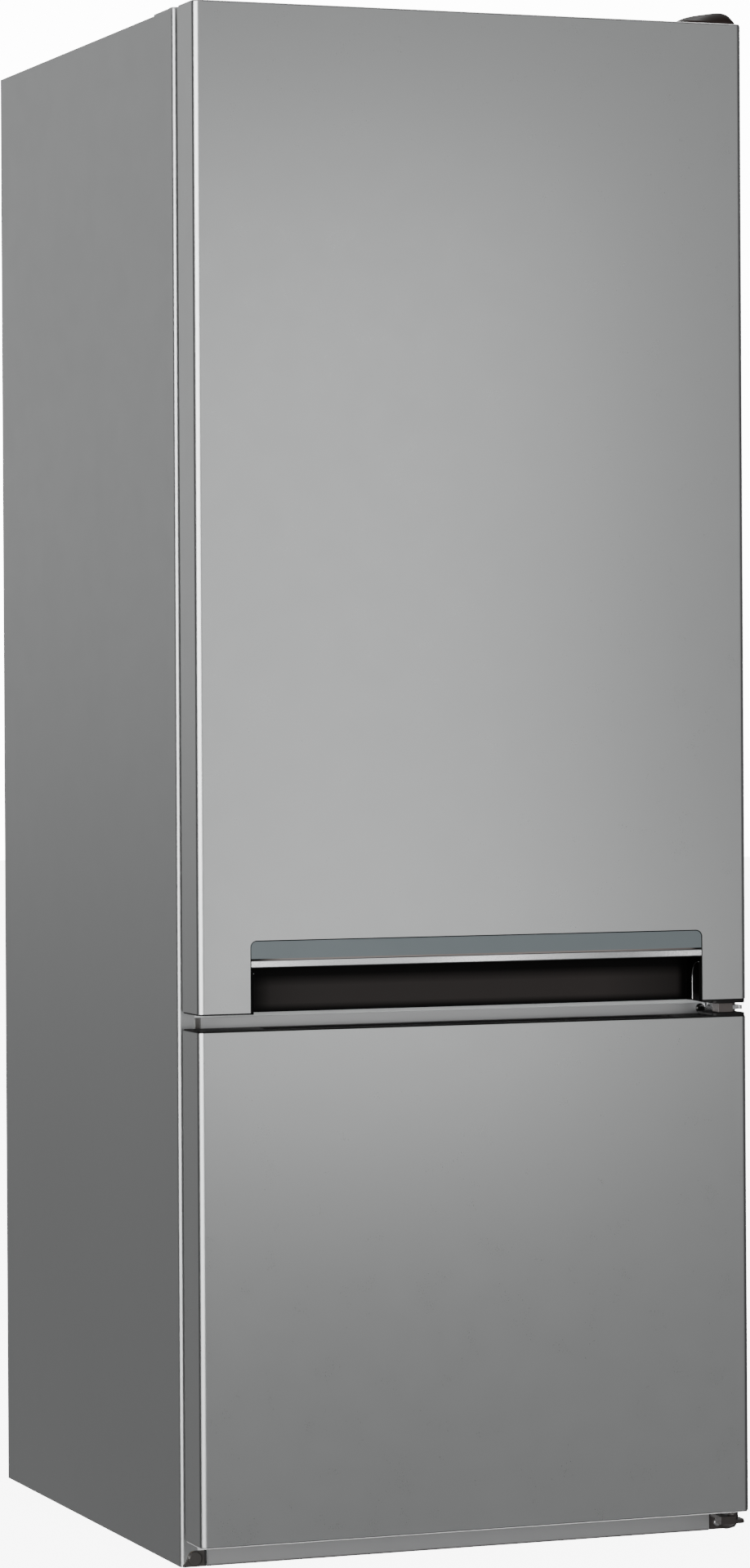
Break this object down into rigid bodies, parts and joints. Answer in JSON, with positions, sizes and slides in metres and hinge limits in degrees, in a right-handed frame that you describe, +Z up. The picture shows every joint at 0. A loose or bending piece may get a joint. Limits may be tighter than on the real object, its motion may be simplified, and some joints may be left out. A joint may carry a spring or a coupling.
{
  "type": "refrigerator",
  "caption": "Free-standing silver refrigerator with the freezer below, hinged doors, a wide recessed handle, shelves, drawers, a wire condenser at the back, feet and rollers.",
  "frame": {"origin": "on the floor, below the middle of the whole refrigerator", "axes": "+X to the hinge side (right, seen from the front), -Y out of the doors, +Z up"},
  "size_m": [0.595, 0.655, 1.588],
  "materials": {
    "side_paint": "satin silver paint",
    "door_steel": "satin silver with a fine grain",
    "top_paint": "satin silver paint",
    "zinc_sheet": "galvanised, matt",
    "foam": "fine-celled rigid foam",
    "liner_white": "glossy white",
    "bar_silver": "satin",
    "dark_plastic": "matt black",
    "light_plastic": "light grey, satin",
    "pocket_black": "black, half gloss",
    "handle_grey": "blue grey, satin",
    "strip_chrome": "polished",
    "hinge_steel": "zinc plated",
    "hinge_dark": "dark paint",
    "cover_brown": "dark brown, glossy",
    "black_paint": "black enamel",
    "white_plastic": "white, satin",
    "rubber_black": "matt",
    "gasket_grey": "matt dark grey",
    "copper": "bare copper, slightly dulled",
    "lamp_white": "milky",
    "knob_grey": "light grey",
    "glass": "clear",
    "clear_plastic": "clear, slightly blue",
    "evaporator": "white lacquer on aluminium",
    "foot_black": "matt black"
  },
  "bodies": {
    "cabinet": {"side_panel_left": "side_paint", "side_panel_right": "side_paint", "top_panel": "top_paint", "back_panel": "zinc_sheet", "base_plate": "zinc_sheet", "cabinet_foam": "foam", "fridge_liner": "liner_white", "freezer_liner": "liner_white", "crossbar_trim": "bar_silver", "bottom_rail": "bar_silver", "corner_plugs": "dark_plastic", "top_hinge": "hinge_steel", "top_hinge_cover": "cover_brown", "middle_hinge": "hinge_steel", "middle_hinge_bush": "dark_plastic", "bottom_hinge": "hinge_dark", "hinge_screws": "hinge_steel", "condenser_tube": "black_paint", "condenser_wires": "black_paint", "condenser_brackets": "white_plastic", "wall_spacers": "dark_plastic", "compressor_carrier": "black_paint", "compressor": "black_paint", "compressor_mounts": "rubber_black", "terminal_cover": "dark_plastic", "filter_drier": "copper", "refrigerant_pipes": "copper", "evaporation_tray": "dark_plastic", "drain_spout": "white_plastic", "control_housing": "white_plastic", "lamp_cover": "lamp_white", "glass_shelves": "glass", "shelf_trims": "white_plastic", "crisper_cover": "glass", "freezer_shelves": "evaporator"},
    "upper_door": {"upper_door_skin": "door_steel", "upper_door_top_cap": "light_plastic", "upper_door_bottom_cap": "dark_plastic", "upper_door_foam": "foam", "upper_door_liner": "liner_white", "upper_door_gasket": "gasket_grey", "handle_panel": "handle_grey", "handle_strip": "strip_chrome", "handle_pocket": "pocket_black", "small_balconies": "clear_plastic", "bottle_balcony": "clear_plastic"},
    "lower_door": {"lower_door_skin": "door_steel", "lower_door_top_cap": "dark_plastic", "lower_door_bottom_cap": "light_plastic", "lower_door_foam": "foam", "lower_door_liner": "liner_white", "lower_door_gasket": "gasket_grey"},
    "crisper": {"crisper_drawer": "clear_plastic"},
    "freezer_drawer_upper": {"freezer_drawer_upper": "clear_plastic"},
    "freezer_drawer_lower": {"freezer_drawer_lower": "clear_plastic"},
    "thermostat": {"thermostat_knob": "knob_grey"},
    "foot_left": {"front_foot_left": "foot_black"},
    "foot_right": {"front_foot_right": "foot_black"},
    "roller_left": {"rear_roller_left": "foot_black"},
    "roller_right": {"rear_roller_right": "foot_black"}
  },
  "joints": [
    {"name": "upper_door_hinge", "type": "hinge", "parent": "cabinet", "child": "upper_door", "pos_m": [0.286, -0.3105, 1], "axis": [0, 0, 1], "range_deg": [0, 130]},
    {"name": "lower_door_hinge", "type": "hinge", "parent": "cabinet", "child": "lower_door", "pos_m": [0.286, -0.3105, 0.3], "axis": [0, 0, 1], "range_deg": [0, 130]},
    {"name": "crisper_slide", "type": "slide", "parent": "cabinet", "child": "crisper", "axis": [0, -1, 0], "range_m": [0, 0.262]},
    {"name": "freezer_upper_slide", "type": "slide", "parent": "cabinet", "child": "freezer_drawer_upper", "axis": [0, -1, 0], "range_m": [0, 0.228]},
    {"name": "freezer_lower_slide", "type": "slide", "parent": "cabinet", "child": "freezer_drawer_lower", "axis": [0, -1, 0], "range_m": [0, 0.16]},
    {"name": "thermostat_turn", "type": "hinge", "parent": "cabinet", "child": "thermostat", "pos_m": [-0.065, -0.2187, 1.502], "axis": [0, -1, 0], "range_deg": [0, 270]},
    {"name": "foot_left_screw", "type": "slide", "parent": "cabinet", "child": "foot_left", "axis": [0, 0, 1], "range_m": [-0.012, 0]},
    {"name": "foot_right_screw", "type": "slide", "parent": "cabinet", "child": "foot_right", "axis": [0, 0, 1], "range_m": [-0.012, 0]},
    {"name": "roller_left_turn", "type": "hinge", "parent": "cabinet", "child": "roller_left", "pos_m": [-0.2495, 0.2805, 0.013], "axis": [1, 0, 0], "continuous": true},
    {"name": "roller_right_turn", "type": "hinge", "parent": "cabinet", "child": "roller_right", "pos_m": [0.2495, 0.2805, 0.013], "axis": [1, 0, 0], "continuous": true}
  ],
  "couplings": [
    {"joint": "crisper_slide", "follows": "upper_door_hinge", "m_per_rad": 0.115},
    {"joint": "freezer_upper_slide", "follows": "lower_door_hinge", "m_per_rad": 0.1},
    {"joint": "freezer_lower_slide", "follows": "lower_door_hinge", "m_per_rad": 0.07}
  ]
}
